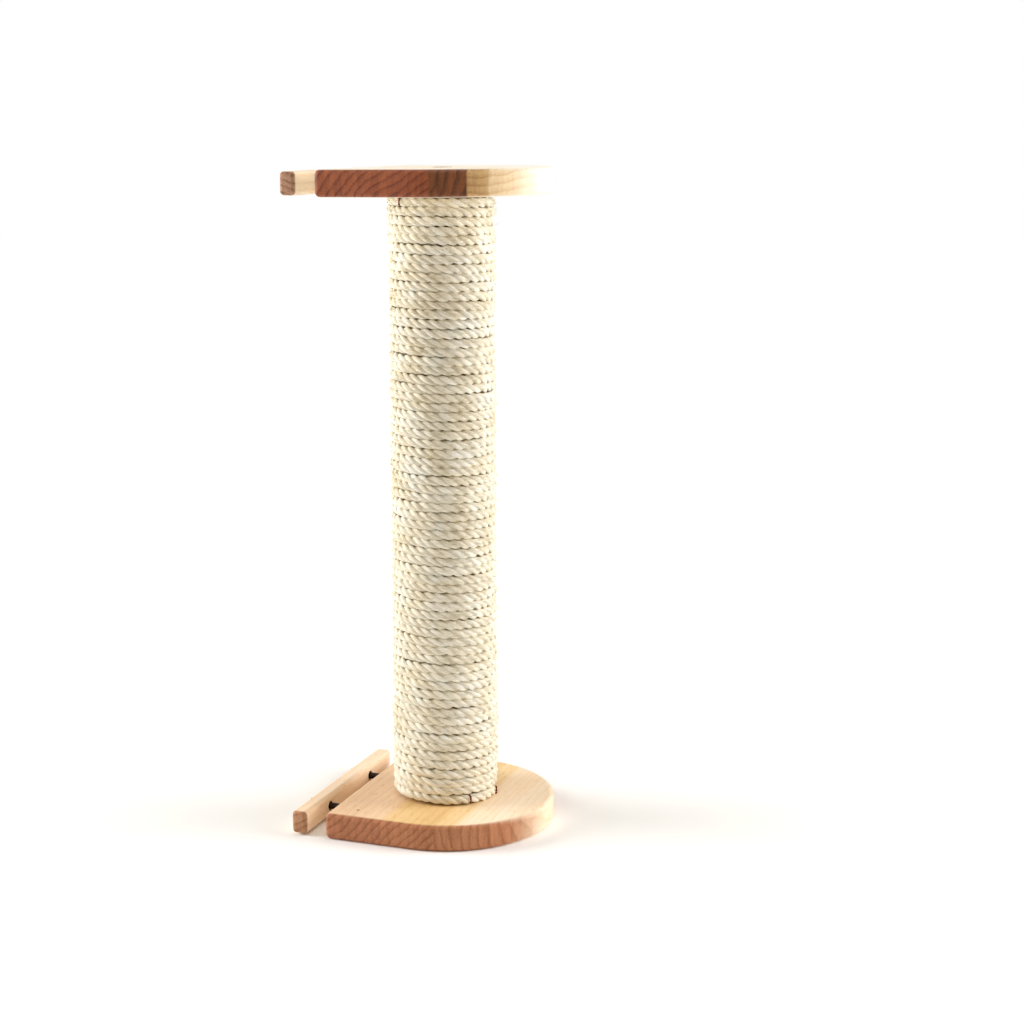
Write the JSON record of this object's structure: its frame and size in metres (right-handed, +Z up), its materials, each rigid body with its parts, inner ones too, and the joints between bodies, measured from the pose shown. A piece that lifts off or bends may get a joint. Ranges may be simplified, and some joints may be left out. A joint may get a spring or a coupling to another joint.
{
  "type": "cage-mounted cat scratching post",
  "caption": "Cat scratching post: sisal-wound tube between two D-shaped wooden plates, each with a bolted wooden clamp bar for fixing to cage wires.",
  "frame": {"origin": "post axis on the underside of the base plate, at the mount resting_face", "axes": "+Z up along the post, +X from the post towards the plates' round noses, -X towards the clamp bars and the cage, Y along the bars"},
  "size_m": [0.145, 0.132, 0.4],
  "materials": {
    "pale_pine": "bare, smooth sanded",
    "sisal": "natural twisted fibre",
    "kraft_board": "plain kraft cardboard tube",
    "black_steel": "black oxide",
    "zinc_steel": "zinc plated",
    "bright_steel": "bright wire",
    "bronzed_steel": "copper washed wire"
  },
  "bodies": {
    "post": {"base_plate": "pale_pine", "top_plate": "pale_pine", "core_tube": "kraft_board", "sisal_rope": "sisal", "base_plug": "pale_pine", "base_plug_nails": "bright_steel", "base_plug_insert": "zinc_steel", "base_post_bolt": "black_steel", "base_post_washer": "zinc_steel", "base_rope_staples": "bronzed_steel", "base_edge_insert_near": "zinc_steel", "base_edge_insert_far": "zinc_steel", "top_plug": "pale_pine", "top_plug_nails": "bright_steel", "top_plug_insert": "zinc_steel", "top_post_bolt": "black_steel", "top_post_washer": "zinc_steel", "top_rope_staples": "bronzed_steel", "top_edge_insert_near": "zinc_steel", "top_edge_insert_far": "zinc_steel"},
    "base_clamp": {"base_clamp_bar": "pale_pine", "base_clamp_washer_near": "zinc_steel", "base_clamp_washer_far": "zinc_steel"},
    "base_bolt_near": {"base_clamp_bolt_near": "black_steel"},
    "base_bolt_far": {"base_clamp_bolt_far": "black_steel"},
    "top_clamp": {"top_clamp_bar": "pale_pine", "top_clamp_washer_near": "zinc_steel", "top_clamp_washer_far": "zinc_steel"},
    "top_bolt_near": {"top_clamp_bolt_near": "black_steel"},
    "top_bolt_far": {"top_clamp_bolt_far": "black_steel"}
  },
  "joints": [
    {"name": "base_clamp_slide", "type": "slide", "parent": "post", "child": "base_clamp", "axis": [1, 0, 0], "range_m": [-0.006, 0.0117]},
    {"name": "base_bolt_near_spin", "type": "hinge", "parent": "base_clamp", "child": "base_bolt_near", "pos_m": [-0.076, -0.031, 0.008], "axis": [1, 0, 0], "range_deg": [-3085.73, 6017.16]},
    {"name": "base_bolt_far_spin", "type": "hinge", "parent": "base_clamp", "child": "base_bolt_far", "pos_m": [-0.076, 0.031, 0.008], "axis": [1, 0, 0], "range_deg": [-3085.73, 6017.16]},
    {"name": "top_clamp_slide", "type": "slide", "parent": "post", "child": "top_clamp", "axis": [1, 0, 0], "range_m": [-0.006, 0.0117]},
    {"name": "top_bolt_near_spin", "type": "hinge", "parent": "top_clamp", "child": "top_bolt_near", "pos_m": [-0.076, -0.031, 0.392], "axis": [1, 0, 0], "range_deg": [-3085.73, 6017.16]},
    {"name": "top_bolt_far_spin", "type": "hinge", "parent": "top_clamp", "child": "top_bolt_far", "pos_m": [-0.076, 0.031, 0.392], "axis": [1, 0, 0], "range_deg": [-3085.73, 6017.16]}
  ],
  "couplings": [
    {"joint": "base_bolt_near_spin", "follows": "base_clamp_slide", "rad_per_m": 8976},
    {"joint": "base_bolt_far_spin", "follows": "base_clamp_slide", "rad_per_m": 8976},
    {"joint": "top_bolt_near_spin", "follows": "top_clamp_slide", "rad_per_m": 8976},
    {"joint": "top_bolt_far_spin", "follows": "top_clamp_slide", "rad_per_m": 8976}
  ]
}
